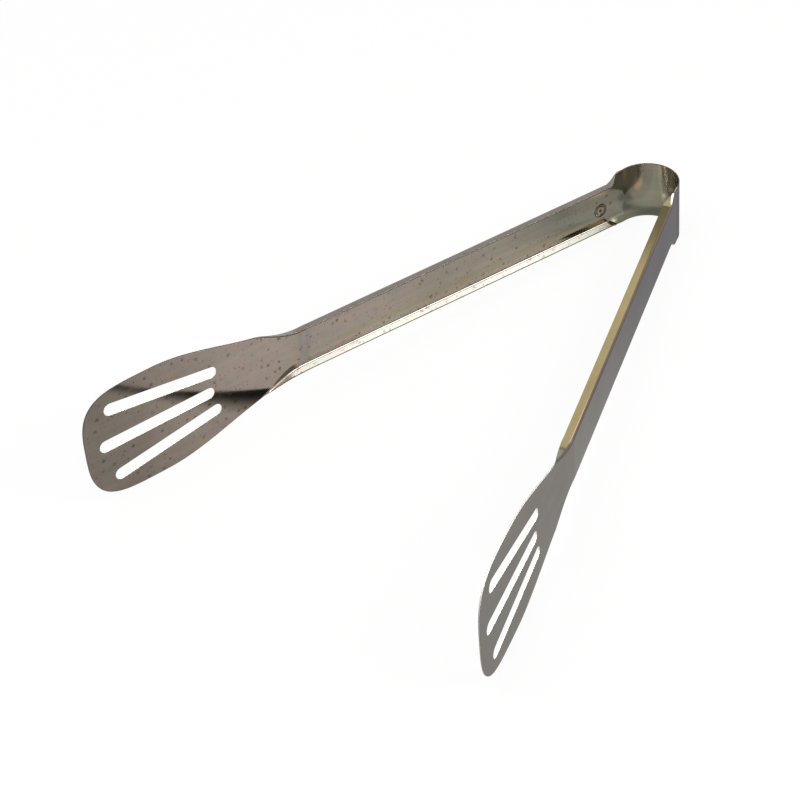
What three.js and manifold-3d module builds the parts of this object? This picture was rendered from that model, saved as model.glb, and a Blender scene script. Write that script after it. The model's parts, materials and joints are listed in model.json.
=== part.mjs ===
// Slotted serving tongs of folded steel sheet, in millimetres, +Z up.
// A flat strip is bent into a spring bow. Each end of it goes on as an arm, a shallow channel
// whose folded edges face the other arm, and each arm ends in a flat blade with three slots.
// The tongs stand on their lower edges, as they do on a table: on the bow and on both blades.
// Plan directions: the bow is at +Y, the blades are at -Y, and the arms mirror each other in X.

import * as THREE from 'three';
import { mergeVertices } from 'three/addons/utils/BufferGeometryUtils.js';
import Module from 'manifold-3d';

const wasm = await Module();
wasm.setup();

// Driving sizes of the sheet
const sheetThickness = 0.6;
const stripWidth = 26.5;
const armWidth = 20;
const foldRadius = 1;
const foldHeight = 3.6;

// Driving sizes of the spring bow, measured at the middle of the sheet
const bowRadius = 13.5;
const bowBulge = 0.15;
const shoulderRadius = 10;
const halfOpening = THREE.MathUtils.degToRad(18.5);

// Driving sizes of an arm, along it from beside the middle of the bow
const creaseDistance = 165;
const foldLeadIn = 2;
const foldRun = 8;
const creaseLength = 2.5;
const bladeLean = THREE.MathUtils.degToRad(3);

// Driving sizes of a blade, along it from the crease
const runOutLength = 24;
const flareStart = 4;
const flareLength = 63;
const wideLength = 6;
const tipLength = 27.4;
const bladeWidth = 50.4;
const tipRoundness = 3.3;

// Driving sizes of the slots: the middle one, and the pair that spreads towards the tip.
// They start at a distance from the crease and stop at a margin before the blade's end.
const middleSlotStart = 41.4;
const middleSlotMargin = 6.2;
const sideSlotStart = 39.3;
const sideSlotMargin = 10.7;
const sideSlotOffset = 8.9;
const sideSlotSpread = 7.4;
const slotInnerWidth = 5.1;
const slotOuterWidth = 5.4;

// Driving sizes of the round mark pressed into the inner face of the left arm
const markDistance = 13;
const markDrop = 2;
const markRadius = 2.8;
const markGroove = 1;
const markDepth = 0.2;
const markDotRadius = 0.7;

// Clearance between neighbouring pieces, and how far a cutter runs past what it cuts
const seamGap = 0.3;
const cutOverrun = 3;

// Steps of the curved stretches
const bowSteps = 28;
const shoulderSteps = 4;
const foldSteps = 8;
const runOutSteps = 8;
const flareSteps = 9;
const tipSteps = 12;
const slotArcSteps = 6;
const markSteps = 28;

// Sizes that follow from the driving ones
const halfSheet = sheetThickness / 2;
const halfStrip = stripWidth / 2;
const halfBlade = bladeWidth / 2;
const channelFoldLine = armWidth / 2 - halfSheet - foldRadius;
const quarterFold = foldRadius * Math.PI / 2;
const foldedHalf = channelFoldLine + quarterFold + foldHeight - foldRadius;
const armOffset = bowRadius - bowBulge;
const shoulderReach = Math.sqrt((bowRadius + shoulderRadius) ** 2 - (armOffset + shoulderRadius) ** 2);
const creaseRadius = creaseLength / bladeLean;
const bladeLength = flareStart + flareLength + wideLength + tipLength;
const middleSlotEnd = bladeLength - middleSlotMargin;
const sideSlotEnd = bladeLength - sideSlotMargin;

// Places across the strip where its surface has points, as shares of its half width. On an
// arm and a blade they lie close together over the fold and far apart over the flat.
const flatShares = [0, 1];
const foldedShares = [0, 0.62, 0.66, 0.7, 0.74, 0.78, 0.83, 0.88, 0.94, 1];

// A steady change from 0 to 1 that starts and ends level
function ease(share) {
  const held = THREE.MathUtils.clamp(share, 0, 1);
  return held * held * (3 - 2 * held);
}

// Plan directions for a heading, the angle outward from -Y, on the left arm
function along(heading) {
  return new THREE.Vector2(-Math.sin(heading), -Math.cos(heading));
}

function inward(heading) {
  return new THREE.Vector2(Math.cos(heading), -Math.sin(heading));
}

// Places in plan on the left arm. The middle of the bow is at zero.
const besideBow = inward(halfOpening).multiplyScalar(-armOffset);
const shoulderEnd = besideBow.clone().addScaledVector(along(halfOpening), shoulderReach);
const shoulderCentre = shoulderEnd.clone().addScaledVector(inward(halfOpening), -shoulderRadius);
const shoulderHeading = Math.atan2(shoulderCentre.y, -shoulderCentre.x);
const shoulderLength = shoulderRadius * (halfOpening - shoulderHeading);
const armRun = creaseDistance - creaseLength / 2;
const creaseStart = besideBow.clone().addScaledVector(along(halfOpening), armRun);

// One cross-section of the strip: its place and heading in plan, its half width when flat,
// and the line across it at which the fold begins
function station(point, heading, halfWidth, foldLine) {
  return { point, normal: inward(heading), halfWidth, foldLine };
}

// The half width of the flat blank of a blade, by distance from the crease
function blankHalfWidth(distance) {
  const tipStart = bladeLength - tipLength;
  if (distance <= tipStart) {
    return foldedHalf + (halfBlade - foldedHalf) * ease((distance - flareStart) / flareLength);
  }
  const share = (distance - tipStart) / tipLength;
  return halfBlade * (1 - share ** tipRoundness) ** (1 / tipRoundness);
}

// How far the folding of the edges has come, by distance from the end of the bow
function foldedShare(distance) {
  return ease((distance - foldLeadIn) / foldRun);
}

// The fold begins at the strip's edge by the bow, moves in to the channel's width, and
// moves out to the edge again on the blade
function foldLineOnArm(distance) {
  return halfStrip + (channelFoldLine - halfStrip) * foldedShare(distance);
}

function foldLineOnBlade(distance) {
  const share = ease(distance / runOutLength);
  return channelFoldLine + (blankHalfWidth(distance) - channelFoldLine) * share;
}

// A point of the folded sheet: across is measured along the sheet from its middle line, and
// side is 1 for the face towards the other arm and -1 for the outer face
function foldedPoint(place, across, side) {
  const reach = Math.abs(across);
  const turn = THREE.MathUtils.clamp((reach - place.foldLine) / foldRadius, 0, Math.PI / 2);
  const upright = Math.max(reach - place.foldLine - quarterFold, 0);
  const offset = side * halfSheet;
  const height = Math.min(reach, place.foldLine) + (foldRadius - offset) * Math.sin(turn);
  const depth = foldRadius * (1 - Math.cos(turn)) + upright + offset * Math.cos(turn);
  const plan = place.point.clone().addScaledVector(place.normal, depth);
  return [plan.x, plan.y, Math.sign(across) * height];
}

// The signed volume of a closed mesh, negative where its faces point in
function signedVolume(positions, index) {
  const corners = [new THREE.Vector3(), new THREE.Vector3(), new THREE.Vector3()];
  let volume = 0;
  for (let face = 0; face < index.length; face += 3) {
    corners.forEach((corner, k) => corner.fromArray(positions, index[face + k] * 3));
    volume += corners[0].dot(corners[1].cross(corners[2])) / 6;
  }
  return volume;
}

// A closed sheet with thickness through a row of stations, with points at the given shares
// of its half width and at their mirror images
function sheetThrough(stations, halfShares) {
  const shares = [...halfShares.slice(1).reverse().map((share) => -share), ...halfShares];
  const columns = shares.length;
  const positions = [];
  for (const place of stations) {
    for (const side of [1, -1]) {
      for (const share of shares) {
        positions.push(...foldedPoint(place, share * place.halfWidth, side));
      }
    }
  }
  const at = (row, side, column) => (row * 2 + side) * columns + column;
  const index = [];
  const quad = (a, b, c, d) => index.push(a, b, c, a, c, d);
  for (let row = 0; row + 1 < stations.length; row += 1) {
    for (let column = 0; column + 1 < columns; column += 1) {
      quad(at(row, 0, column), at(row + 1, 0, column), at(row + 1, 0, column + 1), at(row, 0, column + 1));
      quad(at(row, 1, column), at(row, 1, column + 1), at(row + 1, 1, column + 1), at(row + 1, 1, column));
    }
    const last = columns - 1;
    quad(at(row, 0, 0), at(row, 1, 0), at(row + 1, 1, 0), at(row + 1, 0, 0));
    quad(at(row, 0, last), at(row + 1, 0, last), at(row + 1, 1, last), at(row, 1, last));
  }
  const end = stations.length - 1;
  for (let column = 0; column + 1 < columns; column += 1) {
    quad(at(0, 0, column), at(0, 0, column + 1), at(0, 1, column + 1), at(0, 1, column));
    quad(at(end, 0, column), at(end, 1, column), at(end, 1, column + 1), at(end, 0, column + 1));
  }
  if (signedVolume(positions, index) < 0) {
    index.reverse();
  }
  const geometry = new THREE.BufferGeometry();
  geometry.setAttribute('position', new THREE.Float32BufferAttribute(positions, 3));
  geometry.setIndex(index);
  return geometry;
}

// A solid that can be cut, from a closed geometry
function solidFrom(geometry) {
  const bare = geometry.clone();
  bare.deleteAttribute('normal');
  bare.deleteAttribute('uv');
  const merged = mergeVertices(bare);
  const vertProperties = new Float32Array(merged.attributes.position.array);
  const triVerts = new Uint32Array(merged.index.array);
  return new wasm.Manifold(new wasm.Mesh({ numProp: 3, vertProperties, triVerts }));
}

function geometryFrom(solid) {
  const mesh = solid.getMesh();
  const geometry = new THREE.BufferGeometry();
  geometry.setAttribute('position', new THREE.BufferAttribute(mesh.vertProperties, 3));
  geometry.setIndex(new THREE.BufferAttribute(mesh.triVerts, 1));
  return geometry;
}

function cutAway(geometry, cutters) {
  let solid = solidFrom(geometry);
  for (const cutter of cutters) {
    solid = solid.subtract(solidFrom(cutter));
  }
  return geometryFrom(solid);
}

// The same piece on the other side of the tongs
function mirrored(geometry) {
  const copy = geometry.clone();
  copy.scale(-1, 1, 1);
  copy.setIndex(Array.from(geometry.index.array).reverse());
  return copy;
}

// The spring bow: the flat strip round most of a half circle on each side of its crown
function springBow() {
  const reach = Math.PI / 2 - shoulderHeading - seamGap / bowRadius;
  const stations = [];
  for (let step = 0; step <= bowSteps; step += 1) {
    const turn = reach * (2 * step / bowSteps - 1);
    const point = new THREE.Vector2(-Math.sin(turn), Math.cos(turn)).multiplyScalar(bowRadius);
    stations.push(station(point, Math.PI / 2 - turn, halfStrip, halfStrip));
  }
  return sheetThrough(stations, flatShares);
}

// A place on the arm by its distance along the sheet from the end of the bow
function armStation(distance) {
  const foldLine = foldLineOnArm(distance);
  const halfWidth = halfStrip + (foldedHalf - halfStrip) * foldedShare(distance);
  if (distance < shoulderLength) {
    const heading = shoulderHeading + distance / shoulderRadius;
    const point = shoulderCentre.clone().addScaledVector(inward(heading), shoulderRadius);
    return station(point, heading, halfWidth, foldLine);
  }
  const point = shoulderEnd.clone().addScaledVector(along(halfOpening), distance - shoulderLength);
  return station(point, halfOpening, halfWidth, foldLine);
}

// A place on the crease by the share of its turn
function creaseStation(share) {
  const heading = halfOpening - bladeLean * share;
  const centre = creaseStart.clone().addScaledVector(inward(halfOpening), creaseRadius);
  const point = centre.addScaledVector(inward(heading), -creaseRadius);
  return station(point, heading, foldedHalf, channelFoldLine);
}

// The left arm: a shoulder, the stretch where its edges fold up, and the straight channel
function armSheet() {
  const distances = [];
  const foldEnd = foldLeadIn + foldRun;
  for (let step = 0; step < shoulderSteps; step += 1) {
    distances.push(shoulderLength * step / shoulderSteps);
  }
  for (let step = 0; step <= foldSteps; step += 1) {
    distances.push(shoulderLength + (foldEnd - shoulderLength) * step / foldSteps);
  }
  const stations = distances.map(armStation);
  const halfSeamShare = seamGap / creaseLength / 2;
  stations.push(creaseStation(0));
  stations.push(creaseStation(1 / 2 - halfSeamShare));
  return sheetThrough(stations, foldedShares);
}

// The frame of the left blade: zero at the end of the crease, X along the blade, Y across
// it upwards, and Z out of its outer face
function bladeFrame() {
  const end = creaseStation(1).point;
  const heading = halfOpening - bladeLean;
  const length = along(heading);
  const outward = inward(heading).negate();
  const lengthAxis = new THREE.Vector3(length.x, length.y, 0);
  const upAxis = new THREE.Vector3(0, 0, 1);
  const outAxis = new THREE.Vector3(outward.x, outward.y, 0);
  return new THREE.Matrix4().makeBasis(lengthAxis, upAxis, outAxis).setPosition(end.x, end.y, 0);
}

// The left blade without its slots
function bladeSheet() {
  const heading = halfOpening - bladeLean;
  const end = creaseStation(1).point;
  const tipStart = bladeLength - tipLength;
  const distances = [];
  for (let step = 0; step < runOutSteps; step += 1) {
    distances.push(runOutLength * step / runOutSteps);
  }
  for (let step = 0; step < flareSteps; step += 1) {
    distances.push(runOutLength + (tipStart - wideLength - runOutLength) * step / flareSteps);
  }
  distances.push(tipStart - wideLength);
  for (let step = 0; step < tipSteps; step += 1) {
    distances.push(tipStart + tipLength * Math.sin(Math.PI / 2 * step / tipSteps));
  }
  const halfSeamShare = seamGap / creaseLength / 2;
  const stations = [creaseStation(1 / 2 + halfSeamShare)];
  for (const distance of distances) {
    const point = end.clone().addScaledVector(along(heading), distance);
    stations.push(station(point, heading, blankHalfWidth(distance), foldLineOnBlade(distance)));
  }
  return sheetThrough(stations, foldedShares);
}

// A cutter for one slot with round ends, from its inner end to its outer end in the blade's frame
function slotCutter(startAlong, startAcross, endAlong, endAcross) {
  const innerRadius = slotInnerWidth / 2;
  const outerRadius = slotOuterWidth / 2;
  const direction = new THREE.Vector2(endAlong - startAlong, endAcross - startAcross);
  const length = direction.length();
  direction.normalize();
  const slope = direction.angle();
  const flank = Math.acos((innerRadius - outerRadius) / (length - innerRadius - outerRadius));
  const inner = new THREE.Vector2(startAlong, startAcross).addScaledVector(direction, innerRadius);
  const outer = new THREE.Vector2(endAlong, endAcross).addScaledVector(direction, -outerRadius);
  const outline = new THREE.Shape();
  outline.absarc(outer.x, outer.y, outerRadius, slope - flank, slope + flank, false);
  outline.absarc(inner.x, inner.y, innerRadius, slope + flank, slope - flank + 2 * Math.PI, false);
  const depth = sheetThickness + 2 * cutOverrun;
  const settings = { depth, bevelEnabled: false, curveSegments: slotArcSteps };
  const cutter = new THREE.ExtrudeGeometry(outline, settings);
  cutter.translate(0, 0, -depth / 2);
  return cutter.applyMatrix4(bladeFrame());
}

// The left blade with its three slots
function slottedBlade() {
  const cutters = [slotCutter(middleSlotStart, 0, middleSlotEnd, 0)];
  for (const side of [1, -1]) {
    const startAcross = side * sideSlotOffset;
    const endAcross = side * (sideSlotOffset + sideSlotSpread);
    cutters.push(slotCutter(sideSlotStart, startAcross, sideSlotEnd, endAcross));
  }
  return cutAway(bladeSheet(), cutters);
}

// The cutters of the round mark: a ring groove of V section, and a dot at its middle
function markCutters() {
  const halfGroove = markGroove / 2;
  const top = new THREE.Vector2(markRadius, markDepth);
  const corners = [
    top,
    new THREE.Vector2(markRadius - halfGroove, markDepth),
    new THREE.Vector2(markRadius, -markDepth),
    new THREE.Vector2(markRadius + halfGroove, markDepth),
    top,
  ];
  const ring = new THREE.LatheGeometry(corners, markSteps);
  const dot = new THREE.SphereGeometry(markDotRadius, markSteps / 2, markSteps / 4);
  dot.scale(1, markDepth / markDotRadius, 1);
  const place = armStation(markDistance);
  const normal = place.normal;
  const surface = place.point.clone().addScaledVector(normal, halfSheet);
  const faceOut = new THREE.Vector3(normal.x, normal.y, 0);
  const upAxis = new THREE.Vector3(0, 0, 1);
  const sideAxis = new THREE.Vector3().crossVectors(faceOut, upAxis);
  const seat = new THREE.Matrix4().makeBasis(sideAxis, faceOut, upAxis);
  seat.setPosition(surface.x, surface.y, -markDrop);
  return [ring, dot].map((cutter) => cutter.applyMatrix4(seat));
}

// The materials: bare steel with a warm cast, a little duller on the blades
function steel(colour, roughness) {
  return new THREE.MeshStandardMaterial({ color: colour, roughness, metalness: 1 });
}

function piece(name, geometry, material) {
  const mesh = new THREE.Mesh(geometry, material);
  mesh.name = name;
  return mesh;
}

const plainArm = armSheet();
const leftBlade = slottedBlade();
const leaning = new THREE.Group();
leaning.add(piece('spring_bow', springBow(), steel(0xb3ab93, 0.2)));
leaning.add(piece('left_arm', cutAway(plainArm, markCutters()), steel(0xb5ad9c, 0.28)));
leaning.add(piece('right_arm', mirrored(plainArm), steel(0xb5ad9c, 0.28)));
leaning.add(piece('left_blade', leftBlade, steel(0xb8afa2, 0.32)));
leaning.add(piece('right_blade', mirrored(leftBlade), steel(0xb8afa2, 0.32)));

// The lean that puts the bow's lower edge and both blades' lower edges on one level
function restingLean() {
  const bowBack = bowRadius + halfSheet;
  const bladePoints = leftBlade.attributes.position;
  let lean = 0;
  for (let k = 0; k < bladePoints.count; k += 1) {
    const drop = -halfStrip - bladePoints.getZ(k);
    const run = bowBack - bladePoints.getY(k);
    lean = Math.max(lean, Math.atan2(drop, run));
  }
  return lean;
}

leaning.rotation.x = -restingLean();

// The whole, with zero at the middle of its footprint on the table
const tongs = new THREE.Group();
tongs.add(leaning);
tongs.updateMatrixWorld(true);
const extent = new THREE.Box3().setFromObject(tongs, true);
const middle = extent.getCenter(new THREE.Vector3());
leaning.position.set(-middle.x, -middle.y, -extent.min.z);

export default tongs;
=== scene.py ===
"""Slotted serving tongs of folded steel sheet: the visual model, its stage and its camera."""

import json
import logging
import math
from dataclasses import dataclass
from enum import Enum
from functools import reduce
from typing import ClassVar

import bmesh
import bpy
import numpy as np
from mathutils import Matrix, Vector


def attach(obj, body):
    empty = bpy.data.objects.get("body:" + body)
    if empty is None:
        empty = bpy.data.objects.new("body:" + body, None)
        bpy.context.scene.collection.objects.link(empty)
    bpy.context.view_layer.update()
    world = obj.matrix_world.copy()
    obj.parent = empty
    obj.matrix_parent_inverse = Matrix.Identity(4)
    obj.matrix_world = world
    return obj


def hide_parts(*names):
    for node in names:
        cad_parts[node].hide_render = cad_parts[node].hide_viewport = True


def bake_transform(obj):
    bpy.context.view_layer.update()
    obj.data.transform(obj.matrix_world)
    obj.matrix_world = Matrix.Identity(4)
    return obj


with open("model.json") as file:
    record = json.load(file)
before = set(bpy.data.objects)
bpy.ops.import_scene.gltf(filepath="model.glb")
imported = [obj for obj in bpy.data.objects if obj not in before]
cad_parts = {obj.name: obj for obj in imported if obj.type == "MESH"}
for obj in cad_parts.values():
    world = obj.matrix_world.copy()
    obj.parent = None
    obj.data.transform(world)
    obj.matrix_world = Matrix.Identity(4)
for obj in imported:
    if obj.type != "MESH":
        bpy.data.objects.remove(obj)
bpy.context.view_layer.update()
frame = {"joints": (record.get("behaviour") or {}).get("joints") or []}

Pair = tuple[float, float]
Triple = tuple[float, float, float]
Array = np.ndarray
Socket = bpy.types.NodeSocket

MILLIMETRE = 0.001
STRIP_MAP = "strip"
CARD_MAP = "card"
RIM_MARK = "rim"
# Where each look begins and is complete, as values of the rim mark
INNER_BEGINS = (-0.015, -0.005)
RIM_BEGINS = (0.01, 0.05)
WALL_BEGINS = (0.4, 0.49)
SLOT_BEGINS = (0.6, 0.9)
# The values that most of a noise texture lies between
NOISE_SPAN = (0.3, 0.7)
LOG = logging.getLogger("tongs")


class Side(Enum):
    """Which side of the tongs a piece belongs to, as the sign of its X."""

    LEFT = -1
    RIGHT = 1


SIDE_BODIES = {Side.LEFT: "left_side", Side.RIGHT: "right_side"}


class Place(Enum):
    """Which part of the sheet's surface a point lies on, as its mark in the mesh."""

    OUTER_FACE = -0.02
    INNER_FACE = 0.0
    OUTLINE = 0.5
    SLOT = 1.0


def ease(share: Array) -> Array:
    """A steady change from 0 to 1 that starts and ends level: 3t^2 - 2t^3 of the clamped share.

    Args:
        share: how far along the change each point is.

    Returns:
        The eased share, from 0 to 1.
    """
    held = np.clip(share, 0.0, 1.0)
    return held * held * (3.0 - 2.0 * held)


@dataclass(frozen=True)
class StripSizes:
    """The sizes of the folded strip, in millimetres and radians."""

    thickness: float = 0.6
    strip_width: float = 26.5
    arm_width: float = 20.0
    fold_radius: float = 1.0
    fold_height: float = 3.6
    bow_radius: float = 13.5
    bow_bulge: float = 0.15
    shoulder_radius: float = 10.0
    half_opening: float = math.radians(18.5)
    crease_distance: float = 165.0
    crease_length: float = 2.5
    fold_lead_in: float = 2.0
    fold_run: float = 8.0
    blade_lean: float = math.radians(3.0)
    run_out: float = 24.0
    flare_start: float = 4.0
    flare_length: float = 63.0
    wide_length: float = 6.0
    tip_length: float = 27.4
    blade_width: float = 50.4
    tip_roundness: float = 3.3
    fold_turn: float = math.radians(85.0)
    edge_chamfer: float = 0.05

    @property
    def half_sheet(self) -> float:
        """Half the thickness of the sheet."""
        return self.thickness / 2

    @property
    def half_strip(self) -> float:
        """Half the width of the strip in the bow."""
        return self.strip_width / 2

    @property
    def half_blade(self) -> float:
        """Half the width of a blade."""
        return self.blade_width / 2

    @property
    def quarter_fold(self) -> float:
        """The length of sheet in a fold of a quarter turn."""
        return self.fold_radius * math.pi / 2

    @property
    def channel_fold_line(self) -> float:
        """How far from the middle line an arm's fold begins."""
        return self.arm_width / 2 - self.half_sheet - self.fold_radius

    @property
    def folded_half(self) -> float:
        """Half the width of the flat strip that an arm is folded from."""
        return self.channel_fold_line + self.quarter_fold + self.fold_height - self.fold_radius

    @property
    def arm_offset(self) -> float:
        """How far an arm's line passes from the middle of the bow."""
        return self.bow_radius - self.bow_bulge

    @property
    def tip_start(self) -> float:
        """Where the round end of a blade begins, from the crease."""
        return self.flare_start + self.flare_length + self.wide_length


def arc_step(heading: Array, curve: Array, run: Array) -> Array:
    """The way in plan along lines of even curvature: the chord of an arc.

    A chord stands at the heading halfway, and is the run times sin(t) / t of half the turn t.

    Args:
        heading: the headings at the start, as angles outward from -Y on the left side.
        curve: the change of heading over distance.
        run: how far each line goes.

    Returns:
        The steps in X and in Y.
    """
    half_turn = curve * run / 2
    middle = heading + half_turn
    return -run * np.sinc(half_turn / math.pi) * np.stack([np.sin(middle), np.cos(middle)])


class StripForm:
    """The folded strip as a function of distance from the crown, place across, and height.

    The middle of the bow is at zero, +Z runs across the strip, and the left side is described.
    The bow, the shoulder, the arm, the crease and the blade each have an even curvature.
    """

    def __init__(self, sizes: StripSizes) -> None:
        """Works out where each stretch of the strip begins, and its heading there.

        The shoulder touches the bow's circle and the arm's line.

        Args:
            sizes: the driving sizes of the strip.
        """
        self.sizes = sizes
        between = sizes.bow_radius + sizes.shoulder_radius
        shoulder_turn = math.acos((sizes.arm_offset + sizes.shoulder_radius) / between)
        self.bow_turn = math.pi / 2 - sizes.half_opening + shoulder_turn
        arm_start = between * math.sin(shoulder_turn)
        lengths = [
            sizes.bow_radius * self.bow_turn,
            sizes.shoulder_radius * shoulder_turn,
            sizes.crease_distance - sizes.crease_length / 2 - arm_start,
            sizes.crease_length,
        ]
        turns = [-self.bow_turn, shoulder_turn, 0.0, -sizes.blade_lean]
        self.starts = np.cumsum([0.0, *lengths])
        self.headings = np.cumsum([math.pi / 2, *turns])
        self.curves = np.append(np.divide(turns, lengths), 0.0)
        steps = arc_step(self.headings[:-1], self.curves[:-1], np.array(lengths))
        self.points = np.cumsum(np.column_stack([[0.0, sizes.bow_radius], steps]), axis=1)
        _, self.bow_end, _, self.crease_start, self.crease_end = self.starts
        self.crease_middle = self.crease_start + sizes.crease_length / 2

    @property
    def bend_centre(self) -> Array:
        """The middle of gravity of the left half of the bow's line, where its hinge stands."""
        turn, radius = self.bow_turn, self.sizes.bow_radius
        return np.array([-radius * (1 - math.cos(turn)) / turn, radius * math.sin(turn) / turn])

    def centre_line(self, distance: Array) -> tuple[Array, Array, Array]:
        """The strip's line in plan: each stretch's first point and an arc's step from there.

        Args:
            distance: distances along the sheet from the crown of the bow.

        Returns:
            X and Y of the line, and its heading.
        """
        part = np.searchsorted(self.starts[1:], distance, side="right")
        run = distance - self.starts[part]
        x, y = self.points[:, part] + arc_step(self.headings[part], self.curves[part], run)
        return x, y, self.headings[part] + self.curves[part] * run

    def folded_share(self, distance: Array) -> Array:
        """How far the folding of the edges has come, by distance from the crown."""
        run = distance - self.bow_end - self.sizes.fold_lead_in
        return ease(run / self.sizes.fold_run)

    def half_width(self, distance: Array) -> Array:
        """Half the width of the flat strip: the bow's, the arm's, then the blade's outline.

        Args:
            distance: distances along the sheet from the crown.

        Returns:
            The half widths. On the round end they follow (1 - t^n)^(1/n).
        """
        sizes = self.sizes
        narrowing = sizes.folded_half - sizes.half_strip
        arm = sizes.half_strip + narrowing * self.folded_share(distance)
        run = distance - self.crease_end
        flare = ease((run - sizes.flare_start) / sizes.flare_length)
        blade = sizes.folded_half + (sizes.half_blade - sizes.folded_half) * flare
        share = np.clip((run - sizes.tip_start) / sizes.tip_length, 0.0, 1.0)
        power = sizes.tip_roundness
        tip = sizes.half_blade * (1.0 - share**power) ** (1.0 / power)
        return np.select([distance < self.crease_end, run < sizes.tip_start], [arm, blade], tip)

    def fold_line(self, distance: Array) -> Array:
        """How far from the middle line the fold begins, by distance from the crown."""
        sizes = self.sizes
        inner = sizes.channel_fold_line
        arm = sizes.half_strip + (inner - sizes.half_strip) * self.folded_share(distance)
        run = distance - self.crease_end
        blade = inner + (self.half_width(distance) - inner) * ease(run / sizes.run_out)
        return np.where(distance < self.crease_end, arm, blade)

    def place(self, distance: Array, across: Array, height: Array) -> Array:
        """Points of the folded strip: flat to the fold line, an arc, then straight and steep.

        Args:
            distance: along the sheet from the crown.
            across: along the sheet from its middle line, positive upwards.
            height: off the middle of the sheet, positive towards the other arm.

        Returns:
            The points, with X, Y and Z on the last axis, in millimetres.
        """
        distance, across, height = np.broadcast_arrays(
            np.asarray(distance, float), np.asarray(across, float), np.asarray(height, float)
        )
        radius, full = self.sizes.fold_radius, self.sizes.fold_turn
        line = self.fold_line(distance)
        reach = np.abs(across)
        turn = np.clip((reach - line) / radius, 0.0, full)
        beyond = np.maximum(reach - line - radius * full, 0.0)
        rise = np.minimum(reach, line) + (radius - height) * np.sin(turn) + beyond * math.cos(full)
        up = np.sign(across) * rise
        depth = radius * (1.0 - np.cos(turn)) + beyond * math.sin(full) + height * np.cos(turn)
        x, y, heading = self.centre_line(distance)
        return np.stack([x + np.cos(heading) * depth, y - np.sin(heading) * depth, up], axis=-1)


class Standing:
    """How the strip's own frame stands in the row frame, read from the left hinge."""

    def __init__(self, form: StripForm, joints: list) -> None:
        """Finds the lean and the place of the strip's frame.

        Args:
            form: the strip, for the place of its hinge in its own frame.
            joints: the frame's joints; the first is the left hinge.
        """
        hinge = joints[0]
        axis = np.array(hinge["axis"], float)
        lean = math.atan2(-axis[1], axis[2])
        cosine, sine = math.cos(lean), math.sin(lean)
        self.turn = np.array([[1, 0, 0], [0, cosine, -sine], [0, sine, cosine]])
        own = np.append(form.bend_centre, 0.0)
        own[0] = math.copysign(own[0], hinge["pos_m"][0])
        self.shift = np.array(hinge["pos_m"], float) / MILLIMETRE - self.turn @ own

    def point(self, points: Array) -> Array:
        """Points of the strip's frame in the row frame, in metres."""
        return (np.asarray(points, float) @ self.turn.T + self.shift) * MILLIMETRE

    def direction(self, vector: Array) -> Vector:
        """A direction of the strip's frame in the row frame."""
        return Vector(self.turn @ np.asarray(vector, float))


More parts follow.
